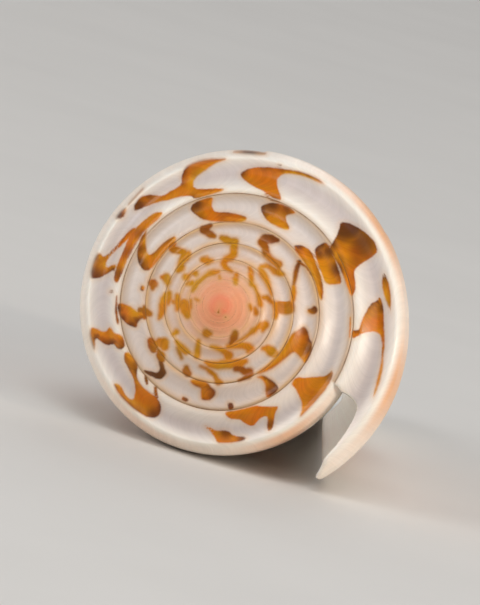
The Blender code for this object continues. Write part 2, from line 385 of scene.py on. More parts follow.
roll = Matrix.Rotation(form["downDirection"] - math.pi / 2, 3, "Z")
tipOver = Matrix.Rotation(math.pi / 2 - form["axisTilt"], 3, "X")
turnOver = np.array(tipOver @ roll)
laid = grid["points"] @ turnOver.T
low, high = laid.min(axis=0), laid.max(axis=0)
boxLow, boxHigh = np.array(cadBox)
shift = (boxLow + boxHigh) / 2 - (low + high) / 2      # over the middle of the CAD part
shift[2] = boxLow[2] - low[2]                          # and down on its floor
laid = laid + shift
print("laid down, box", (high - low).round(5), "CAD box", (boxHigh - boxLow).round(5))


# Blotches are closed outlines in degrees clockwise from the picture's right and pixels from the
# apex, as the photograph shows them. Streaks are paths with a half width, and a darkness below 0
# is gold. The corners are rounded below.
lastWhorl = [                   # strength of the dark older edge, then the outline
    (1.0, [(356.5, 161), (358.5, 157.5), (359, 153), (361, 149), (364, 145), (367, 142.8),
     (370, 142), (370.5, 138), (370.5, 135.5), (373, 135.5), (374, 138), (372.5, 142), (371, 147),
     (370, 153), (369.5, 160), (371.5, 167.5), (367, 166), (361, 164.5)]),
    (0.8, [(348, 167.5), (352, 171), (357, 172), (363, 171.5), (360, 168.5), (357, 165),
     (353, 163.5)]),
    (0.1, [(29.5, 130), (32, 134), (37, 135.5), (43, 136), (49, 137), (55, 138.5), (51.5, 133),
     (49.5, 127), (48.5, 119), (47.5, 112), (48, 107), (44, 104.5), (41.5, 109), (39.5, 114),
     (37, 119), (35, 125), (33, 128.5)]),
    (0.2, [(59.5, 117.5), (62.5, 121), (64.5, 127), (66.5, 134.5), (69, 136), (68.5, 130),
     (66.5, 122), (67.5, 120), (70.5, 120.5), (74.5, 126.5), (78, 121), (79.5, 116.5), (82, 115),
     (84.5, 114.5), (87, 109.5), (86.5, 106.5), (80, 106.5), (70, 106.5), (67, 110), (63, 114)]),
    (0.5, [(78, 135), (80, 138), (86, 138.5), (91, 138), (92, 132), (94, 127), (97.5, 121),
     (94, 123), (91.5, 126), (88.5, 125), (85.5, 126.5), (84, 131), (81, 133)]),
    (1.0, [(118.5, 125), (120, 131), (124, 134), (131, 135), (138, 135), (144, 132), (141, 126.5),
     (136, 130.5), (132, 129), (133.5, 122), (138, 114), (143, 111.5), (150, 110.5), (153.5, 106),
     (152.5, 101), (143, 101), (141, 106), (138, 110.5), (133, 112.5), (124, 111.5), (120.5, 115),
     (119, 120)]),
    (1.0, [(159.5, 133), (163, 133.5), (168, 133), (170.5, 129), (168, 122), (166.5, 117),
     (169.5, 111), (165, 109.5), (163, 101.5), (157, 101.5), (155.5, 107), (156.5, 111), (160, 112),
     (160, 119), (163, 124.5), (165.5, 128)]),
    (1.0, [(191.5, 131), (195, 133.5), (203, 133.5), (203.5, 129), (202.5, 126), (204, 123),
     (208, 120), (213, 118), (218, 117.5), (223, 115), (222, 111), (216, 112.5), (210, 115.5),
     (205.5, 118.8), (201.5, 121), (199, 120.5), (198.5, 118), (200, 115.5), (202, 111),
     (199.5, 109.5), (197.5, 113), (195, 117.5), (193, 122), (192, 127)]),
    (0.4, [(192, 106), (194, 109), (198, 109.5), (204, 110), (210, 110.5), (216, 112.5), (223, 114),
     (231, 113.5), (236, 112.5), (239, 108.5), (236, 105.5), (226, 105), (217, 103.5), (206, 102.5),
     (197, 102.5), (192.5, 104)]),
    (1.0, [(219.5, 135), (222, 136.5), (226.5, 135.5), (225, 132), (222, 129.5)]),
    (0.8, [(227.5, 127), (230, 132), (234, 134), (237.5, 131), (240.5, 126), (243, 122.5),
     (246, 124), (250, 124.5), (253, 127), (253.5, 134), (256, 142), (259.5, 145), (265, 147),
     (274, 147), (268, 141.5), (265, 136.5), (260, 130.5), (258, 126), (257.5, 121), (259.5, 118),
     (264, 117), (273, 117), (271, 113.5), (263, 110), (257, 108.5), (255.5, 113), (250, 115.5),
     (244, 116.5), (240, 119.5), (235, 122), (231, 124)]),
    (1.0, [(274, 153.5), (280, 157.5), (288, 159.5), (286, 156), (279, 153.5)]),
    (0.9, [(278.5, 132.5), (281, 138), (285, 143), (291, 147.5), (297, 152), (302, 157), (308, 161),
     (311.5, 160), (303, 154), (298, 149), (295.5, 145), (294.5, 138), (296, 132), (299, 126),
     (301, 121.5), (296, 119.5), (292, 122), (285, 124), (281.5, 127)]),
    (1.0, [(325.5, 147), (327, 152), (330, 158), (334, 164), (338, 168), (341.5, 167.5),
     (342.5, 160), (343.5, 150), (344.5, 143), (346, 138.5), (353, 138), (357, 132), (350, 128.5),
     (340, 125.5), (335, 122.5), (332.5, 124), (331, 130), (329.5, 136), (327.5, 142)]),
]
secondWhorl = [                 # outlines
    [(0, 95), (1.5, 98.5), (4, 99), (6, 95), (5, 88.5), (2.5, 88), (2, 92)],
    [(13.5, 87), (16, 92), (20, 96), (22, 100), (26, 103.5), (34.5, 105), (33.5, 99), (32, 92),
     (32, 87.5), (39, 85), (50, 83), (60, 80), (62, 77.5), (50, 77), (36, 77), (22, 77.5),
     (18, 82)],
    [(54, 101), (56, 104), (63, 105.5), (62.5, 99), (60, 92.5), (60, 86), (63, 80.5), (58, 82),
     (56, 88), (54.5, 94)],
    [(82, 98), (82, 105), (85, 105), (85.5, 98)],
    [(92, 88.5), (94, 93), (96, 96), (101, 96.5), (102, 89), (102.5, 85), (108, 84.5), (111.5, 81),
     (109, 77.5), (99, 77.5), (96, 82), (93, 85)],
    [(107.5, 99), (109, 103), (112, 102), (112, 98)],
    [(164.5, 86), (167, 92.5), (172, 99), (177, 102), (181.5, 101.5), (180, 90), (175, 82),
     (176.5, 76), (171, 74), (170, 79), (168, 83.5)],
    [(190, 77), (191, 81.5), (194.5, 80.5), (194, 76.5)],
    [(204.5, 83), (207, 91), (212, 97.5), (219, 103), (227, 106), (222.5, 100), (218, 93),
     (215, 87), (218, 84), (228, 84), (237, 83), (237, 77.5), (226, 76.5), (209, 76.5), (206, 79)],
    [(253, 99), (254.5, 104), (259, 107), (267, 109), (265.5, 100), (267, 93), (276, 93.5),
     (288, 93), (287, 86.5), (276, 83.5), (265, 84), (258, 88), (255.5, 93)],
    [(292.5, 107.5), (296, 114), (300.5, 118.5), (307, 121), (310, 119.5), (306.5, 112), (308, 108),
     (311.5, 105.5), (313, 103), (310.5, 99.5), (303, 96.5), (298.5, 97.5), (294.5, 102)],
    [(321, 95.5), (324, 102), (327.5, 105.5), (331, 106.6), (336.5, 105.8), (344.5, 106),
     (352.5, 105.3), (358, 103), (356, 99.8), (347, 98.4), (339, 96.6), (331.5, 94.6), (325, 93.2)],
    [(329, 112), (329, 119), (329.5, 124.7), (336, 124.8), (344, 124.8), (350, 124.8), (350, 118),
     (349, 108.5), (344, 107), (337, 107), (332, 108)],
]
streaks = [                     # darkness, then the path in degrees, pixels and half width
    (0.3, [(9, 165, 2.2), (13, 168.5, 1.4), (18, 171.5, 0.8)]),
    (-0.6, [(18, 171.5, 0.8), (22, 174.5, 1.6), (26, 176.5, 1.6), (31, 179.5, 0.6)]),
    (0.1, [(5, 131.5, 0.5), (9, 132.5, 0.7), (14, 134.5, 0.6)]),
    (0.5, [(170, 103, 1.4), (177, 103.5, 1.2), (185, 103, 0.6)]),
    (0.5, [(124, 112, 1.5), (126, 108, 1.8), (128, 104, 1.5)]),
    (0.6, [(132.5, 107, 1.2), (134, 105, 1.6), (136, 102.5, 1.2)]),
    (0.6, [(187, 110, 1.2), (187.3, 108.5, 1.5)]),
    (0.4, [(228, 135.5, 0.4), (232, 137, 0.5), (237, 139.5, 0.3)]),
    (0.9, [(293, 152, 0.7), (293.6, 152.4, 0.6)]),
    (0.4, [(292, 120, 0.4), (296, 117, 0.7), (300, 119, 0.4)]),
    (0.5, [(331, 90, 1.4), (333, 91.5, 1.6), (336, 95, 1.0), (342, 97, 0.6)]),
    (0.8, [(311.6, 87, 2.5), (308.1, 83.8, 4.7), (304.8, 80.3, 5.2), (304.5, 76.4, 5),
     (308.4, 73.8, 3.8), (312, 69.8, 4.1)]),
    (0.5, [(312, 69.8, 3.8), (317.4, 69.1, 3.3), (321.8, 70.2, 3.6), (325.5, 72.1, 4.1),
     (328.2, 69.4, 2.4)]),
    (0.3, [(317.7, 56.8, 2.4), (319.7, 61.1, 2.7), (323.4, 63.4, 2.7), (328.4, 64.8, 3.6),
     (332.2, 68.2, 3.3), (334.1, 70.8, 2.2)]),
    (0.2, [(318.1, 54.7, 2.4), (323.3, 53.9, 3.8), (328.6, 53.7, 3.6), (335.7, 53.5, 2.7),
     (343.4, 53.1, 1.9), (349.1, 53.2, 1.3)]),
    (0.15, [(309.2, 48.2, 1.9), (314.5, 45.3, 3), (326.6, 38.5, 2.7), (332.4, 40.1, 1.9),
     (341.4, 39.8, 1.6), (349.3, 40.5, 2.7), (359, 41.1, 3)]),
    (0.5, [(350.3, 44.7, 2.4), (351.1, 48.5, 3), (354.9, 51.1, 2.7), (358.3, 54.3, 2.2)]),
    (0.3, [(357.4, 54.4, 2.4), (0.1, 56.9, 4.1), (5.2, 58, 3.8), (12.1, 57.3, 2.7)]),
    (0.6, [(1.7, 62, 7.2), (1.9, 68, 7.5), (3.5, 71.1, 4.4)]),
    (0.3, [(345.9, 76.7, 2.2), (350.3, 75.4, 3), (354.8, 74.2, 2.4), (357.4, 73.2, 1.9)]),
    (0.9, [(331.6, 91.3, 2), (333.9, 87, 2.5), (337.1, 83, 2.4), (340.8, 80.1, 2.2),
     (344.7, 77.1, 1.6)]),
    (0.5, [(272, 67.3, 3), (275.7, 65.8, 4.1), (279.6, 64.7, 3.8), (284, 65.8, 3.6)]),
    (0.3, [(283.7, 65.7, 3.3), (284.2, 59.7, 4.1), (285.6, 53, 4.1), (283.7, 49.4, 4.1),
     (278.2, 46.4, 3.3), (276.1, 41.9, 3.6), (279.3, 38.3, 3), (290.5, 35.8, 1.6)]),
    (0.2, [(299.4, 35.1, 2.4), (301.9, 31, 3.3), (306.6, 27.5, 2.4)]),
    (0.7, [(263.7, 80.1, 2.2), (261.7, 78.7, 3), (258.3, 76.9, 4.4), (260.5, 73.8, 3.6),
     (262.9, 71.2, 3.8), (265.6, 69.1, 2.7)]),
    (0.4, [(229.7, 78.1, 1.6), (233.1, 77.1, 3.3), (230.6, 74.9, 4.1), (230.6, 71.5, 3.8),
     (233.5, 67.7, 3.8), (236.3, 63.4, 3.3)]),
    (0.4, [(239, 60, 3.3), (234.7, 59.4, 5), (230.7, 58.2, 4.1), (227.2, 56.8, 3.3),
     (224.1, 53.7, 4.7), (220.9, 53.8, 3.3)]),
    (0.4, [(250.2, 48.3, 3.3), (254.6, 45.8, 4.1), (261, 45.2, 1.9)]),
    (0.3, [(255.3, 49.7, 1.6), (254.9, 46.7, 2.7)]),
    (0.4, [(206, 63.8, 2.2), (207.1, 59.6, 4.7), (204.6, 57, 3.6), (200.6, 55.3, 1.6)]),
    (0.3, [(220.3, 43.3, 4.1), (224.7, 42.3, 2.2)]),
    (0.2, [(230.4, 41.8, 1.9), (233, 39.3, 3.3)]),
    (0.2, [(208.3, 30.3, 1.9), (215.5, 30.6, 3.3), (224.5, 31.4, 3), (234.5, 31.2, 2.4),
     (246.4, 32.4, 2.2), (253.2, 33.2, 3), (260.7, 33.1, 3), (268.2, 33.6, 1.9)]),
    (0.1, [(213.7, 38.2, 2.4), (218.7, 35.2, 3.3)]),
    (0.5, [(198.1, 71.1, 3.8), (197.8, 69.2, 4.7), (194.2, 68.8, 2.4)]),
    (0.2, [(191.5, 55, 2.2), (186, 55.9, 3.6), (179.9, 56.7, 4.1), (173.9, 57.5, 3.6),
     (169.3, 60.1, 2.7), (167.5, 61.8, 1.5)]),
    (0.1, [(193.3, 51.5, 3), (187.6, 50.5, 3), (181.7, 51.4, 2.2)]),
    (0.3, [(192.4, 43, 2.7), (185.7, 41.7, 3.8), (179.8, 41.1, 3.6), (174, 42.2, 2.2)]),
    (0.3, [(184.1, 46.4, 2.2), (183.3, 42.9, 2.7)]),
    (0.3, [(181.2, 35.2, 5.8), (171.1, 33.9, 5.5), (162, 33.4, 3.6)]),
    (0.3, [(189.9, 29, 1.6), (174.7, 28.7, 1.6)]),
    (0.5, [(176.2, 78.8, 3.3), (174.7, 74.7, 4.4), (172.9, 70.2, 3)]),
    (0.5, [(178.6, 75.3, 1.9), (170.8, 75.8, 2.4)]),
    (0.5, [(152.3, 77.3, 3.8), (148.8, 77.5, 5.5), (146, 79.5, 3.6)]),
    (0.35, [(148.7, 74.1, 3), (147.5, 70, 5), (145.9, 67.2, 5.5), (142.9, 68.7, 4.4)]),
    (0.5, [(143.3, 75.8, 1.9), (139.3, 77.3, 4.7), (136.6, 79.5, 3.6)]),
    (0.9, [(136.1, 81.3, 2.4), (132.5, 84.6, 2.3), (130.1, 88.2, 3.9), (130.2, 92.2, 3.9),
     (131.9, 94.7, 3), (134.9, 97, 2.3), (138.3, 99.6, 1.3)]),
    (0.7, [(117.9, 70.6, 2.7), (116.7, 73.6, 4.1), (114.6, 75.2, 3.8)]),
    (0.5, [(107.3, 63.9, 1.3), (101.6, 64.5, 1.9), (97.5, 67.2, 2.7), (93.7, 70.2, 2.4),
     (92.1, 74.3, 2.7), (90.8, 76.8, 3.8), (88.3, 77.3, 1.9)]),
    (0.35, [(102.8, 58.7, 2.2), (98.4, 60, 3.8), (91, 60.2, 4.4), (86.1, 59.1, 5),
     (77.9, 59.8, 5.2), (70.1, 61.8, 4.7), (64.9, 61.8, 2.7)]),
    (0.1, [(119.9, 41.4, 2.4), (116.7, 47.9, 3), (113.9, 55.2, 3.6)]),
    (0.5, [(140, 55.9, 1.9), (132.6, 56.9, 4.1), (125.9, 57, 3.8), (121.6, 55.7, 1.6)]),
    (0.6, [(134.5, 59.9, 1.6), (129.5, 62, 2.4), (125.5, 65, 1.6)]),
    (0.15, [(147.6, 54.3, 2.2), (148.2, 50.4, 3)]),
    (0.6, [(120.5, 29.8, 1.6), (114, 30.9, 4.7), (107, 30, 2.2)]),
    (0.3, [(100.8, 42.2, 1.9), (93.7, 42.8, 2.7), (87, 44.9, 3), (82.1, 47.9, 3.6), (79.7, 51.2, 5),
     (80.9, 55.4, 3.6)]),
    (0.8, [(60.5, 32.4, 3.6), (65.7, 35.7, 4.4), (70.1, 38.2, 3), (74.9, 41.6, 2.4)]),
    (0.3, [(77.6, 42.5, 3), (67.3, 43.6, 3.6), (59.5, 46.6, 3.6), (55.5, 50.8, 4.4),
     (53.6, 54.2, 3.6), (58.3, 54.7, 2.4)]),
    (0.5, [(68.1, 40.5, 1.5), (56.3, 41.1, 1.6), (44.5, 41.5, 1.9), (37.2, 42.5, 3.3),
     (33.4, 43.6, 3)]),
    (0.25, [(30.3, 44.2, 2.7), (25.9, 47.1, 4.4), (23.3, 49.9, 4.4), (29.9, 49.9, 2.2)]),
    (0.3, [(0.2, 30.5, 1.9), (7, 32.4, 2.4)]),
    (0.5, [(5.7, 35.7, 2.4), (11.9, 37.7, 3)]),
    (0.4, [(44.4, 61.7, 2.4), (42, 65.1, 4.1), (41.7, 69.4, 5.2), (41.4, 73, 4.7)]),
    (0.9, [(75.1, 65.4, 3.6), (71.6, 66.6, 3.8), (69.2, 71.3, 3.8), (66.3, 73.7, 5),
     (67.9, 76.5, 3.6), (71.6, 77.4, 2.2), (75.6, 78, 1.5)]),
    (0.1, [(270, 29.5, 1.2), (271, 27, 1.4)]),
    (0.1, [(194.5, 24.5, 1.3), (193, 21.5, 1.5)]),
    (0.8, [(260, 2.2, 0.64), (270, 1.8, 0.64)]),
    (0.8, [(135, 3.4, 0.64), (125, 3.9, 0.64)]),
    (0.8, [(99, 7.2, 0.64), (96, 7.5, 0.64)]),
    (0.8, [(63, 13.4, 0.8), (61, 13.9, 0.64)]),
]
darkSpots = [                   # degrees, pixels, size, strength
    (1, 163, 8, 0.8), (3, 158, 9, 0.5), (350, 168, 7, 0.8), (33, 132, 8, 0.6), (44, 131, 10, 0.35),
    (67, 130, 8, 0.7), (79, 112, 8, 0.3), (80, 135, 7, 0.8), (87, 128, 8, 0.8), (121, 127, 9, 0.9),
    (144, 105, 7, 0.6), (162, 121, 6, 0.7), (158.5, 104, 7, 0.6), (194, 127, 10, 0.9),
    (197, 106, 9, 0.7), (210, 106, 10, 0.6), (222, 107, 9, 0.6), (222, 134, 6, 0.9),
    (231, 128, 9, 0.95), (237, 128, 8, 0.6), (254, 137, 7, 0.8), (259, 134, 9, 0.4),
    (281, 157, 9, 0.9), (280, 134, 6, 0.8), (289, 146, 7, 0.5), (298, 119, 8, 0.4),
    (330, 149, 16, 1.3), (337, 153, 16, 1.15), (341, 144, 12, 0.75), (339, 130, 9, 0.5),
    (2, 96, 7, 1.0), (16, 89, 9, 0.9), (26, 100, 9, 0.8), (84, 101, 6, 1.0), (58, 101, 8, 0.9),
    (334, 121, 8, 0.9), (333, 113, 6, 0.9), (343, 123, 9, 0.9), (298, 112, 10, 0.95),
    (305, 118, 9, 0.7), (257, 102, 9, 0.9), (272, 89, 8, 0.5), (94, 91, 7, 0.7), (110, 100, 5, 0.8),
    (131, 93, 7, 0.7), (167, 90, 7, 0.9), (172, 98, 6, 0.9), (178, 101, 5, 0.9), (207, 88, 9, 0.8),
    (119.5, 131, 8, 1.0), (215, 98, 8, 0.7), (294, 107, 8, 0.9), (325, 98, 7, 0.5),
]

marks = {                       # how the marks are drawn, in pixels
    "reach": 7.0,               # a mark is felt this far around it
    "cornerCut": 0.22,          # share cut from both ends of an outline's sides
    "leadGain": 1.7,            # contrast between a blotch's older and newer edge
    "leadLoss": 0.2,
    "outerLead": 0.45,          # the outer edge is darkened too, by this share
    "leadDepth": 6.0,
    "unevenLead": (0.85, 0.25),
}


def seenPoints(pairs):
    # degrees and pixels to flat places: pixels times cosine to the right, times sine downward
    pairs = np.asarray(pairs, float)
    angle = np.radians(pairs[:, 0])
    return np.stack([pairs[:, 1] * np.cos(angle), pairs[:, 1] * np.sin(angle)], axis=-1)


def cutCorners(outline):
    # soft curves: both ends of every side are cut off and joined across the corner, twice over
    near, far = 1.0 - marks["cornerCut"], marks["cornerCut"]
    for _ in range(2):
        following = np.roll(outline, -1, axis=0)
        outline = np.stack([near * outline + far * following,
                            far * outline + near * following], axis=1).reshape(-1, 2)
    return outline


def segmentDistance(places, starts, ends):
    # distance from every place to every segment: the way from its start, less the share of the
    # segment that lies alongside. Gives the share and that way too
    along = ends - starts
    length = np.maximum((along ** 2).sum(axis=-1), 1e-9)
    offset = places[:, None, :] - starts[None]
    share = np.clip((offset * along[None]).sum(axis=-1) / length[None], 0.0, 1.0)
    gap = offset - share[..., None] * along[None]
    return np.sqrt((gap ** 2).sum(axis=-1)), share, gap


def insideOutline(places, starts, ends):
    # true where an odd number of sides crosses the line to the right of the place
    x, y = places[:, 0, None], places[:, 1, None]
    straddles = (starts[None, :, 1] > y) != (ends[None, :, 1] > y)
    rise = np.where(ends[:, 1] == starts[:, 1], 1e-9, ends[:, 1] - starts[:, 1])
    slant = (ends[:, 0] - starts[:, 0]) / rise
    crossing = starts[None, :, 0] + (y - starts[None, :, 1]) * slant[None]
    return (straddles & (x < crossing)).sum(axis=1) % 2 == 1


def nearTo(places, corners):
    # numbers of the places in the corners' box, widened by the reach
    low, high = corners.min(axis=0) - marks["reach"], corners.max(axis=0) + marks["reach"]
    return np.nonzero(np.all((places > low) & (places < high), axis=1))[0]


def uneven(places):
    # two crossed sine waves, one of them bent, times a depth and on top of a middle
    x, y = places.T
    middle, depth = marks["unevenLead"]
    return middle + depth * np.sin(0.31 * x + 1.1 * np.sin(0.23 * y)) * np.sin(0.27 * y + 0.8)


def paintMarks(places):
    # mark: pixels inside the nearest mark's edge, below 0 outside. lead: its darkness there. In a
    # blotch it is largest at the older edge, where the shell laid its first, darkest pigment, and
    # falls as exp(-depth / leadDepth). The mark whose edge lies deepest wins at each place
    mark = np.full(len(places), -marks["reach"])
    lead = np.zeros(len(places))
    radial = places / np.maximum(np.linalg.norm(places, axis=1, keepdims=True), 1e-6)
    growing = np.stack([-radial[:, 1], radial[:, 0]], axis=-1)

    def layOver(near, signed, dark):
        # takes the new mark where its edge lies deeper than that of the marks before it
        better = signed > mark[near]
        mark[near] = np.where(better, signed, mark[near])
        lead[near] = np.where(better, dark, lead[near])

    for strength, outline in lastWhorl + [(1.0, outline) for outline in secondWhorl]:
        ends = cutCorners(seenPoints(outline))
        starts = np.roll(ends, 1, axis=0)
        near = nearTo(places, ends)
        here = places[near]
        gap, _, offset = segmentDistance(here, starts, ends)
        closest = (np.arange(len(near)), gap.argmin(axis=1))
        distance = gap[closest]
        signed = np.where(insideOutline(here, starts, ends), distance, -distance)
        away = offset[closest] / np.maximum(distance, 1e-6)[:, None] * np.sign(signed)[:, None]
        older = (away * growing[near]).sum(axis=-1)
        outer = -(away * radial[near]).sum(axis=-1)
        dark = marks["leadGain"] * np.maximum(older, marks["outerLead"] * outer) - marks["leadLoss"]
        dark = np.clip(dark, -1.0, 1.0) * np.where(dark > 0.0, strength, 1.0)
        layOver(near, signed, dark * np.exp(-np.abs(signed) / marks["leadDepth"]) * uneven(here))
    for darkness, path in streaks:
        path = np.asarray(path, float)
        ends, widths = seenPoints(path[:, :2]), path[:, 2]
        near = nearTo(places, ends)
        gap, share, _ = segmentDistance(places[near], ends[:-1], ends[1:])
        width = widths[None, :-1] * (1.0 - share) + widths[None, 1:] * share
        layOver(near, (width - gap).max(axis=1), darkness)
    return mark, lead


def spotStrength(places):
    # the strongest of the dark spots at each place: strength times a bell curve of its size
    dark = np.zeros(len(places))
    centres = seenPoints([spot[:2] for spot in darkSpots])
    for centre, (_, _, size, strength) in zip(centres, darkSpots):
        gap = np.linalg.norm(places - centre, axis=1)
        dark = np.maximum(dark, strength * hump(0.0, size, gap))
    return dark


colours = {                     # screen colours, 0 to 255: the ground, the mouth, the pigment
    # shade: painted shade, for the crease under each covering whorl
    "ivory": (244, 235, 223), "tan": (226, 200, 170), "shade": (186, 160, 136),
    # channel: its own lavender grey, deepened with painted shade of the hollow ramp
    "channel": (208, 195, 189), "pearl": (222, 206, 195), "peach": (232, 174, 126),
    "coral": (236, 132, 94), "salmon": (232, 160, 118), "beige": (222, 184, 160),
    "breath": (220, 172, 112), "foot": (240, 230, 214),
    # mouth, mouthDeep: the cream inside, made near white as painted light for the glow through the
    # lip
    "mouth": (255, 238, 216), "mouthDeep": (255, 229, 202), "lip": (240, 229, 212),
    "orange": (200, 118, 0), "brown": (148, 82, 0), "dark": (100, 50, 4),
    "gold": (210, 148, 24), "innerOrange": (198, 132, 8), "innerBrown": (148, 84, 0),
    "veiled": (146, 118, 104), "veiledDark": (98, 66, 52), "suture": (138, 98, 50),
}
sidePattern = {
    "flames": 11,               # upright flames in one turn
    # smaller waves: height, number in one turn, lean down the side, start
    "waves": ((0.55, 17.0, 6.0, 3.0), (0.45, 5.0, -9.0, 2.0),
              (0.35, 31.0, 15.0, 0.0), (0.10, 67.0, 3.0, 0.0)),
    "bands": ((0.22, 0.15), (0.62, 0.17)),   # place and half width down the side
    "waveHeight": 0.45,
    "bandHeight": 1.25,
    "level": 1.02,              # the pattern shows where waves and bands rise above this
    "edgeSharpness": 16.0,
    "fadeOverShoulder": 70.0,   # pixels that a blotch of the shoulder loses down the whole side
    "flameLead": 0.004,         # turns ahead at which a flame's dark edge is felt
    "lipPlace": (0.15, 0.18),   # turns over which the side comes out from under the lip
}
fades = {                       # pixels from the axis over which each tint comes or goes
    "channel": (70.0, 125.0), "pearl": (85.0, 120.0), "shade": (20.0, 45.0),
    "beige": (34.0, 70.0), "salmon": (18.0, 46.0), "coral": (6.0, 16.0),
    "breath": (80.0, 115.0), "sutureBreath": (80.0, 120.0), "plainApex": (20.0, 36.0),
    "lastWhorlPigment": (60.0, 95.0), "crispEdges": (50.0, 105.0), "apexMarks": (14.0, 20.0),
    "sutureLine": (24.0, 60.0), "apexSuture": (8.0, 16.0),
}
strengths = {                   # of the tints that aren't laid on in full
    "tan": 0.5, "beige": 0.85, "coral": 0.8, "gold": 0.85,
    "peach": 0.10, "peachPatches": 0.85, "peachSide": 0.45,
    "patches": ((0.915, 0.055, 1.0), (1.07, 0.045, 1.0),       # turn, width, strength
                (0.18, 0.05, 0.8), (0.36, 0.05, 0.35)),
    "breath": (0.25, 0.50),     # on the last whorl, and on the inner ones
    "sutureBreath": 0.75,
    "veiled": (0.25, 0.50),     # over a pale blotch, and over a dark one
    "veiledDark": 0.75,
}


def toLight(screen):
    # screen colour to light: ((c + 0.055) / 1.055) to the power 2.4, and c / 12.92 near black
    c = np.array(screen) / 255.0
    return np.where(c <= 0.04045, c / 12.92, ((c + 0.055) / 1.055) ** 2.4)


def layColours(base, layers):
    # base colour on every point; each layer then adds its weight times the way to its colour
    colour = np.repeat(toLight(colours[base])[None], len(points), axis=0)
    for name, weight in layers:
        colour = colour + (toLight(colours[name]) - colour) * np.asarray(weight, float)[..., None]
    return colour


def fade(name):
    # 0 nearer to the axis than the named range, 1 farther out
    return smoothStep(*fades[name], radius)


def sideField(turn, drop):
    # flames: sine waves around the side whose places sway from the shoulder down, plus two bands
    # that swell a little around it, less the level. Above 0 is inside a flame
    u = 2.0 * math.pi * turn
    sway = 0.30 * np.sin(15.0 * drop + 1.3 * np.sin(3.0 * u) + 0.7)
    sway = sway + 0.12 * np.sin(41.0 * drop + 2.0 * np.sin(5.0 * u + 1.0))
    w = u + 0.30 * sway
    wave = np.sin(sidePattern["flames"] * w + 0.8 * np.sin(2.0 * u + 1.0))
    for height, number, lean, start in sidePattern["waves"]:
        wave = wave + height * np.sin(number * w + lean * drop + start)
    bands = np.max([hump(place, width, drop) for place, width in sidePattern["bands"]], axis=0)
    bands = bands * (1.0 + 0.12 * np.sin(4.0 * u + 1.0) + 0.1 * np.sin(7.0 * u))
    field = sidePattern["waveHeight"] * wave + sidePattern["bandHeight"] * bands
    return (field - sidePattern["level"]) * sidePattern["edgeSharpness"]


turn, station, zone, points = grid["turn"], grid["station"], grid["zone"], grid["points"]
outside = zone == 0
lastTurn = turn > form["sinusTurn"] - 1.0 - 1e-6
drop = np.clip(station - 12.0, 0.0, 1.0)
radius = np.hypot(points[:, 0], points[:, 1]) / seen["pixel"]
hidden = outside & ~lastTurn & (station > 8.2)         # covered by the next whorl
onTop = outside & ~hidden & (station <= 12.0)
onSide = outside & ~hidden & (station > 12.0)
mark = np.full(len(points), -marks["reach"])
lead = np.zeros(len(points))
spots = np.zeros(len(points))
places = seenPlace(points[onTop])
mark[onTop], lead[onTop] = paintMarks(places)
spots[onTop] = spotStrength(places)
# the side: blotches of the shoulder run out over it, and flames of its own lie below
sideTurn, sideDrop = turn[onSide], drop[onSide]
wander = 0.006 * np.sin(95.0 * sideDrop + 9.0 * sideTurn) * smoothStep(0.0, 0.05, sideDrop)
crestPlaces = seenPlace(outerSurface(sideTurn + wander, np.full(len(sideTurn), 11.9)))
crestMark, crestLead = paintMarks(crestPlaces)
runOut = crestMark - sidePattern["fadeOverShoulder"] * sideDrop
flames = sideField(sideTurn, sideDrop)
ahead = sideField(sideTurn + sidePattern["flameLead"], sideDrop)
mark[onSide] = np.maximum(runOut, np.clip(flames, -7.0, 9.0))
flameLead = np.clip((ahead - flames) * 0.8, 0.0, 1.0) * np.exp(-np.abs(flames) / 4.0)
lead[onSide] = np.where(runOut > flames, crestLead, flameLead)
spots[onSide] = np.where(runOut > flames, spotStrength(crestPlaces), 0.0)
# inside the mouth the shell's own wall is glazed over without pattern and painted in the mouth's
# near-white cream: its own colour, lightened as painted light where the lip shades the gap
beyondLip = 1.0 - smoothStep(*sidePattern["lipPlace"], turn)
within = onSide * beyondLip * smoothStep(0.01, 0.05, drop)
mark = mark - 30.0 * within
print("markings laid:", int((mark > 0).sum()), "points pigmented")

# pixels from the nearest suture, its own or the one that the next whorl makes
section = form["crestRadius"] * form["perTurn"] ** turn / seen["pixel"]
sectionShare = curveThrough(form["outerRadius"], station)
ownSuture = sectionShare - form["outerRadius"][0]
nextSuture = np.where(lastTurn, 9.0, np.abs(form["outerRadius"][8] - sectionShare))
suture = np.where(outside & (station < 8.2), np.minimum(ownSuture, nextSuture) * section, 9.0)
suture = suture + 0.35 * (1.0 - fade("sutureLine")) + 3.0 * (1.0 - fade("apexSuture"))

# ground: ivory crest, cream ridge at the suture, grey channel between (its own lavender tint,
# deepened with painted shade of the hollow), salmon apex
onRamp = station < 9.0
spire = outside & (drop < 0.01)
# the outer part of each inner whorl darkens towards the suture that covers it: painted shade in
# the crease under the next whorl
paintedShadeNearSuture = smoothStep(4.2, 7.8, station) * onRamp * ~lastTurn
patches = sum(height * hump(place, width, turn) for place, width, height in strengths["patches"])
peach = strengths["peach"] + strengths["peachPatches"] * patches
peach = peach * smoothStep(7.6, 9.4, station) * (1.0 - smoothStep(0.04, 0.16, drop))
cloudy = 0.5 + 0.5 * np.sin(6.0 * math.pi * turn + 11.0 * drop)
peach = peach + strengths["peachSide"] * smoothStep(0.03, 0.14, drop) * cloudy
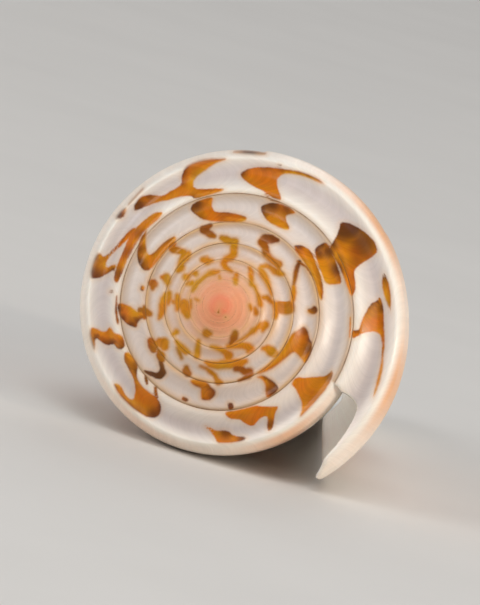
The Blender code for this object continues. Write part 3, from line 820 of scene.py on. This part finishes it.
# a golden breath lies around the blotches, and along the sutures of the inner whorls
low, high = strengths["breath"]
breath = smoothStep(-5.0, 0.0, mark) * (high - (high - low) * fade("breath"))
ring = hump(0.0, 5.0, suture) * (0.6 + 0.4 * np.sin(29.0 * turn + 1.0))
ring = ring * (1.0 - fade("sutureBreath")) * fade("plainApex")
breath = np.maximum(breath, strengths["sutureBreath"] * ring)
behindEdge = np.clip(edgeTurn(station) - turn, 0.0, 1.0)
ground = layColours("ivory", (
    ("tan", strengths["tan"] * onRamp * lastTurn * hump(0.2, 0.8, station)),
    # grey channel: partly its own tint, partly painted shade of the hollow
    ("channel", onRamp * hump(4.2, 1.7, station) * fade("channel")),
    ("pearl", (1.0 - fade("pearl")) * spire),
    ("shade", paintedShadeNearSuture * fade("shade")),
    ("peach", np.clip(peach, 0.0, 1.0) * outside),
    ("foot", smoothStep(0.80, 0.95, drop) * outside),
    ("beige", strengths["beige"] * (1.0 - fade("beige")) * spire),
    ("salmon", (1.0 - fade("salmon")) * spire),
    ("coral", strengths["coral"] * (1.0 - fade("coral")) * spire),
    ("breath", breath * spire),
    # the mouth's cream, brightened near white: partly its own colour, partly painted light
    ("mouth", (zone == 1) * smoothStep(0.0, 0.012, behindEdge)),
    ("mouthDeep", (zone == 1) * smoothStep(0.03, 0.14, behindEdge)),
    ("lip", zone == 2),
    # the wall inside the mouth: glazed cream, lightened as painted light over the gap's shade
    ("mouth", within),
))

# pigment: orange to dark brown, plainer on the inner whorls
spots = spots * (0.60 + 0.40 * np.exp(-np.maximum(mark, 0.0) / 5.0))      # darkest at the rim
darkness = np.clip(np.maximum(spots, lead), 0.0, 1.0)
outer = fade("lastWhorlPigment")
# near the crest of the last whorl the blotches lie under a veil of clear glaze
veil = smoothStep(5.9, 7.3, station) * (1.0 - smoothStep(12.0, 12.15, station)) * lastTurn
low, high = strengths["veiled"]
pigment = layColours("orange", (
    ("innerOrange", 1.0 - outer),
    ("gold", strengths["gold"] * np.clip(-1.4 * lead, 0.0, 1.0)),
    ("brown", smoothStep(0.10, 0.60, darkness) * outer),
    ("dark", smoothStep(0.42, 0.90, darkness) * outer),
    ("innerBrown", smoothStep(0.3, 1.0, darkness) * (1.0 - outer)),
    ("veiled", veil * (low + (high - low) * darkness)),
    ("veiledDark", strengths["veiledDark"] * veil * smoothStep(0.35, 0.85, darkness)),
))

# edges are softer on the small whorls, under the veil and around gold, and crisp at the apex
softness = 1.15 + 1.1 * (1.0 - fade("crispEdges")) + 1.2 * veil
softness = softness + 0.7 * np.clip(-lead, 0.0, 1.0) - 1.4 * (1.0 - fade("apexMarks"))

# growth lines run across the whorl, drawn back a little in the channel; spiral lines run along it
lag = -0.030 * hump(4.0, 2.6, station) - 0.035 * drop
lineAngle = 2.0 * math.pi * (turn + lag)
flow = np.stack([np.cos(lineAngle), np.sin(lineAngle), 0.02 * station + 0.6 * drop], axis=-1)


def meshObject(name, points, triangles):
    # one mesh from whole arrays: points as x, y, z rows, triangles as rows of three point numbers
    mesh = bpy.data.meshes.new(name)
    mesh.vertices.add(len(points))
    mesh.vertices.foreach_set("co", np.ascontiguousarray(points, np.float32).ravel())
    mesh.loops.add(len(triangles) * 3)
    mesh.loops.foreach_set("vertex_index", np.ascontiguousarray(triangles, np.int32).ravel())
    mesh.polygons.add(len(triangles))
    starts = np.arange(0, len(triangles) * 3, 3, dtype=np.int32)
    mesh.polygons.foreach_set("loop_start", starts)
    mesh.update(calc_edges=True)
    mesh.shade_smooth()
    piece = bpy.data.objects.new(name, mesh)
    scene.collection.objects.link(piece)
    return piece


def addAttribute(mesh, name, kind, values):
    # one value for each point: a number, a vector, or a colour with 1 as its fourth part
    attribute = mesh.attributes.new(name, kind, "POINT")
    field = {"FLOAT": "value", "FLOAT_VECTOR": "vector", "FLOAT_COLOR": "color"}[kind]
    if kind == "FLOAT_COLOR":
        values = np.concatenate([values, np.ones((len(values), 1))], axis=1)
    attribute.data.foreach_set(field, np.ascontiguousarray(values, np.float32).ravel())


shell = meshObject("shellFinish", laid, grid["triangles"])
for name, kind, values in (
        ("ground", "FLOAT_COLOR", ground), ("pigment", "FLOAT_COLOR", pigment),
        ("mark", "FLOAT", mark / softness), ("wander", "FLOAT", 1.0 / softness ** 2),
        ("suture", "FLOAT", suture), ("flow", "FLOAT_VECTOR", flow)):
    addAttribute(shell.data, name, kind, values)


class Nodes:
    # a new material with a short way to add nodes to it and wire them
    def __init__(self, name):
        self.material = bpy.data.materials.new(name)
        self.material.use_nodes = True
        self.tree = self.material.node_tree
        self.shader = self.tree.nodes["Principled BSDF"]

    def add(self, kind, settings=None, **inputs):
        # one node with its settings; i0, i1 and so on feed its sockets by number
        node = self.tree.nodes.new(kind)
        for key, value in (settings or {}).items():
            setattr(node, key, value)
        for key, value in inputs.items():
            byNumber = key[0] == "i" and key[1:].isdigit()
            self.feed(node, int(key[1:]) if byNumber else key, value)
        return node

    def feed(self, node, socket, value):
        # a wire from another node's output, or else a fixed value on the socket itself
        target = node.inputs[socket]
        if isinstance(value, bpy.types.NodeSocket):
            self.tree.links.new(value, target)
        else:
            target.default_value = value

    def attribute(self, name, output="Fac"):
        # the mesh attribute of that name
        return self.add("ShaderNodeAttribute", {"attribute_name": name}).outputs[output]

    def math(self, operation, a, b=0.0, c=0.0):
        # the named operation on two or three values
        return self.add("ShaderNodeMath", {"operation": operation}, i0=a, i1=b, i2=c).outputs[0]

    def noise(self, place, scale, detail=2.0, stretch=None):
        # noise at the place times the stretch times the scale, 0.5 on average
        if stretch:
            settings = {"operation": "MULTIPLY"}
            place = self.add("ShaderNodeVectorMath", settings, i0=place, i1=stretch).outputs[0]
        node = self.add("ShaderNodeTexNoise", None, Vector=place, Scale=scale, Detail=detail)
        return node.outputs[0]

    def swing(self, noise, depth, middle=0.0):
        # the middle plus depth times (noise less 0.5)
        return self.math("MULTIPLY_ADD", noise, depth, middle - depth / 2.0)

    def shaded(self, colour, layers):
        # the colour times the product of its layers, each a noise swung by a depth
        shade = 1.0
        for noise, depth, middle in layers:
            shade = self.math("MULTIPLY", shade, self.swing(noise, depth, middle))
        grey = self.add("ShaderNodeCombineColor", None, i0=shade, i1=shade, i2=shade).outputs[0]
        return self.mix(1.0, colour, grey, "MULTIPLY")

    def step(self, low, high, value, toLow=0.0, toHigh=1.0):
        # smoothStep from low to high, as a share of the way from toLow to toHigh
        node = self.add("ShaderNodeMapRange", {"interpolation_type": "SMOOTHSTEP"}, Value=value)
        ends = {"From Min": low, "From Max": high, "To Min": toLow, "To Max": toHigh}
        for socket, number in ends.items():
            node.inputs[socket].default_value = number
        return node.outputs[0]

    def mix(self, share, a, b, blend="MIX"):
        # colour a plus the share of the way to b, or a times b
        node = self.add("ShaderNodeMix", {"data_type": "RGBA", "blend_type": blend})
        for socket, value in ((0, share), (6, a), (7, b)):
            self.feed(node, socket, value)
        return node.outputs[2]


glaze = {
    "edgeSoftness": 0.9,        # pixels
    # how far the blotches' edges and the suture wander, end to end in pixels, by kind of noise
    "edgeWander": 1.5, "fineWander": 0.8, "lineWander": 0.4, "sutureWander": 0.8,
    "sutureWidth": (0.65, 0.1),              # pixels from its middle where the line ends, is full
    "sutureGaps": (0.30, 0.66, 0.10, 0.85),  # noise and strength, at the weak and strong places
    # noise: number of waves in a metre of the shell, or along the growth and across it
    "coarse": 1900.0, "fine": 5200.0, "clouds": 420.0, "hues": 300.0, "gaps": 340.0,
    "growthLines": (95.0, 95.0, 9.0), "spiralLines": (2.5, 2.5, 210.0),
    "broadLines": (24.0, 24.0, 3.0),
    # depth and middle of the shade that each noise lays on the ground, and on the pigment
    "groundShade": {"growth": (0.14, 1.0), "spiral": (0.06, 1.0), "clouds": (0.08, 1.0),
                    "broad": (0.16, 1.0)},
    "pigmentShade": {"clouds": (0.3, 1.03), "growth": (0.30, 1.01), "broad": (0.5, 1.01)},
    "hueTints": ((1.03, 0.86, 0.70, 1.0), (0.98, 1.10, 1.0, 1.0)),   # redder and greener orange
    "roughnessDepth": 0.10,
    "coatRoughness": 0.10,
    "specular": 0.20,
    "glowColour": (1.0, 0.90, 0.80),
    "growthBump": 0.8, "spiralBump": 0.35, "bumpStrength": 0.6,
    "bumpHeight": 0.00003,
}
outerGlaze = {
    "roughness": 0.32, "coat": 0.12,
    "glow": 0.6, "glowDepth": 0.0006,        # light that wanders inside the wall, in metres
}
mouthGlaze = {                               # more light comes through the thin lip
    "roughness": 0.34, "coat": 0.10,
    "glow": 1.0, "glowDepth": 0.012,
}


def shellMaterial(name, kind):
    # colour = ground or pigment, whichever side of the wandering mark edge the place is on, each
    # times its shades, with the suture line over both; growth and spiral lines make the bump
    n = Nodes(name)
    place = n.add("ShaderNodeTexCoord").outputs["Object"]
    flow = n.attribute("flow", "Vector")
    coarse, fine = n.noise(place, glaze["coarse"]), n.noise(place, glaze["fine"])
    noises = {
        "growth": n.noise(flow, 1.0, 3.0, glaze["growthLines"]),
        "spiral": n.noise(flow, 1.0, 2.0, glaze["spiralLines"]),
        "broad": n.noise(flow, 1.0, 2.0, glaze["broadLines"]),
        "clouds": n.noise(place, glaze["clouds"], 3.0),
    }
    wander = n.math("ADD", n.swing(coarse, glaze["edgeWander"]), n.swing(fine, glaze["fineWander"]))
    wander = n.math("ADD", wander, n.swing(noises["growth"], glaze["lineWander"]))
    edge = n.math("MULTIPLY_ADD", wander, n.attribute("wander"), n.attribute("mark"))
    pigmented = n.step(-glaze["edgeSoftness"], glaze["edgeSoftness"], edge)
    layers = [(noises[key], *shade) for key, shade in glaze["groundShade"].items()]
    ground = n.shaded(n.attribute("ground", "Color"), layers)
    layers = [(noises[key], *shade) for key, shade in glaze["pigmentShade"].items()]
    pigment = n.shaded(n.attribute("pigment", "Color"), layers)
    hue = n.step(0.35, 0.65, n.noise(place, glaze["hues"]))
    pigment = n.mix(1.0, pigment, n.mix(hue, *glaze["hueTints"]), "MULTIPLY")
    colour = n.mix(pigmented, ground, pigment)
    gap = n.math("ADD", n.attribute("suture"), n.swing(fine, glaze["sutureWander"]))
    low, high, weak, strong = glaze["sutureGaps"]
    broken = n.step(low, high, n.noise(place, glaze["gaps"]), weak, strong)
    line = n.math("MULTIPLY", n.step(*glaze["sutureWidth"], gap), broken)
    colour = n.mix(line, colour, (*toLight(colours["suture"]), 1.0))
    height = n.math("MULTIPLY", noises["spiral"], glaze["spiralBump"])
    height = n.math("MULTIPLY_ADD", noises["growth"], glaze["growthBump"], height)
    bump = n.add("ShaderNodeBump", None, Strength=glaze["bumpStrength"],
                 Distance=glaze["bumpHeight"], Height=height)
    sockets = {
        "Base Color": colour, "Normal": bump.outputs[0],
        "Roughness": n.swing(noises["growth"], glaze["roughnessDepth"], kind["roughness"]),
        "Coat Weight": kind["coat"], "Coat Roughness": glaze["coatRoughness"],
        "Specular IOR Level": glaze["specular"],
        "Subsurface Weight": kind["glow"], "Subsurface Scale": kind["glowDepth"],
        "Subsurface Radius": glaze["glowColour"],
    }
    for socket, value in sockets.items():
        n.feed(n.shader, socket, value)
    return n.material


shell.data.materials.append(shellMaterial("glazedShell", outerGlaze))
shell.data.materials.append(shellMaterial("thinLip", mouthGlaze))
inMouth = ((zone > 0) | (within > 0.5))[grid["triangles"]].all(axis=1)
shell.data.polygons.foreach_set("material_index", inMouth.astype(np.int32))
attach(shell, "root")
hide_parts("shell")
print("shell finished")

studio = {
    "floorHalf": 3.0,           # metres
    "floorColours": ((214, 211, 206), (222, 219, 214)),
    "floorGrain": (30.0, 4.0),  # scale and detail of the noise between the two
    "floorRoughness": 0.75,
    "sky": (0.93, 0.95, 1.0),
    "skyStrength": 0.30,
    "sensorWidth": 36.0,        # millimetres
    # metres to the picture's right, upward and towards the viewer, from the apex; size; power
    "lights": {
        "keySoftbox": (0.32, 1.20, 0.84, 0.72, 6.0),
        "fillSoftbox": (-0.96, 0.78, 0.84, 0.72, 7.6),
        "rightSoftbox": (1.20, 0.20, 0.64, 0.60, 2.2),
        "lipSoftbox": (2.08, -0.30, 0.40, 0.60, 21.0),
        "frontSoftbox": (0.00, 0.60, 1.60, 1.00, 2.8),
        "backSoftbox": (0.60, 1.10, -1.10, 0.80, 3.2),
    },
    "tints": {"lipSoftbox": (1.0, 0.90, 0.77)},
}
half = studio["floorHalf"]
corners = np.array([[-half, -half, 0], [half, -half, 0], [half, half, 0], [-half, half, 0]])
floor = meshObject("floor", corners, np.array([[0, 1, 2], [0, 2, 3]]))
n = Nodes("paleFloor")
grain = n.noise(n.add("ShaderNodeTexCoord").outputs["Object"], *studio["floorGrain"])
ends = [(*toLight(screen), 1.0) for screen in studio["floorColours"]]
n.feed(n.shader, "Base Color", n.mix(grain, *ends))
n.feed(n.shader, "Roughness", studio["floorRoughness"])
floor.data.materials.append(n.material)

world = bpy.data.worlds.new("softRoom")
world.use_nodes = True
sky = world.node_tree.nodes["Background"]
sky.inputs["Color"].default_value = (*studio["sky"], 1.0)
sky.inputs["Strength"].default_value = studio["skyStrength"]
scene.world = world

# the picture's right, up and line of sight as the shell lies; its apex lies at the shift
axes = np.stack([right, up, sight]) @ turnOver.T
for name, (across, upward, toward, size, power) in studio["lights"].items():
    lamp = bpy.data.lights.new(name, "AREA")
    lamp.size = size
    lamp.energy = power
    lamp.color = studio["tints"].get(name, (1.0, 1.0, 1.0))
    light = bpy.data.objects.new(name, lamp)
    light.location = Vector(shift + np.array([across, upward, toward]) @ axes)
    aim = Vector(shift) - light.location
    light.rotation_euler = aim.to_track_quat("-Z", "Y").to_euler()
    scene.collection.objects.link(light)

camera = bpy.data.cameras.new("spireView")
camera.sensor_width = studio["sensorWidth"]
frameSize = seen["frameHeight"] * seen["pixel"]
camera.lens = camera.sensor_width * seen["distance"] / frameSize
camera.clip_start, camera.clip_end = seen["clip"]
viewer = bpy.data.objects.new("spireView", camera)
place = turnOver @ (eye + right * seen["sideShift"] + up * seen["upShift"]) + shift
viewer.matrix_world = Matrix.Translation(Vector(place)) @ Matrix(axes.T.tolist()).to_4x4()
scene.collection.objects.link(viewer)
scene.camera = viewer
scene.view_settings.view_transform = "Standard"
print("studio ready")
